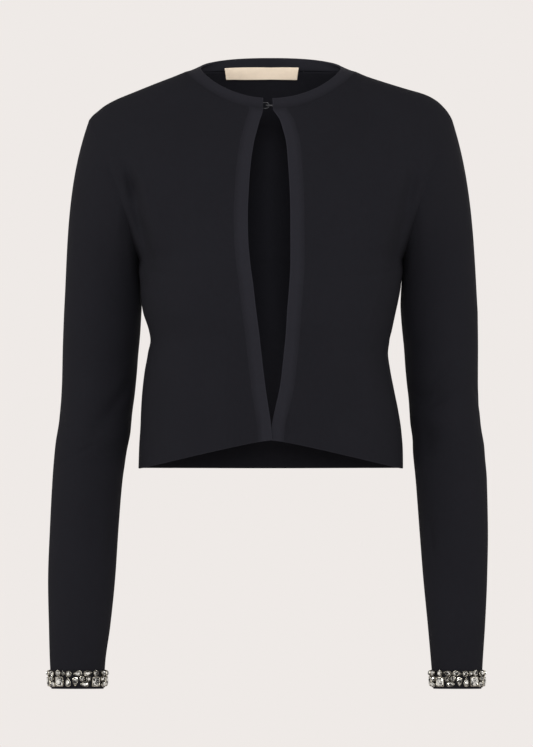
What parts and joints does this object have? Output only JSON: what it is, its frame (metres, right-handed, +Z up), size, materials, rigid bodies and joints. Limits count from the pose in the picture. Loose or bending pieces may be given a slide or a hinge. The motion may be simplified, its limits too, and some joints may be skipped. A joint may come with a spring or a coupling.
{
  "type": "cardigan",
  "caption": "Cropped round-neck knit cardigan with long set-in sleeves, open front closed at the neck by a hook and eye, and stone-set cuffs.",
  "frame": {"origin": "between the two points where the neck band crosses the shoulders, at their height, inside the open neck", "axes": "+Z up, from hem to neck; the front faces -Y; +X to the wearer's left"},
  "size_m": [0.4704, 0.2238, 0.68],
  "materials": {
    "jersey": "fine matte knit",
    "rib": "double knit band, matte",
    "crystal": "faceted clear stones with pale metal backs on dark tape",
    "label": "woven satin",
    "wire": "bright nickel"
  },
  "bodies": {
    "root": {"back": "jersey", "cuff_stones_left": "crystal", "cuff_stones_right": "crystal", "eye": "wire", "front_band_left": "rib", "front_band_right": "rib", "front_left": "jersey", "front_right": "jersey", "hook": "wire", "label": "label", "neck_band": "rib", "sleeve_left": "jersey", "sleeve_right": "jersey"}
  },
  "joints": []
}
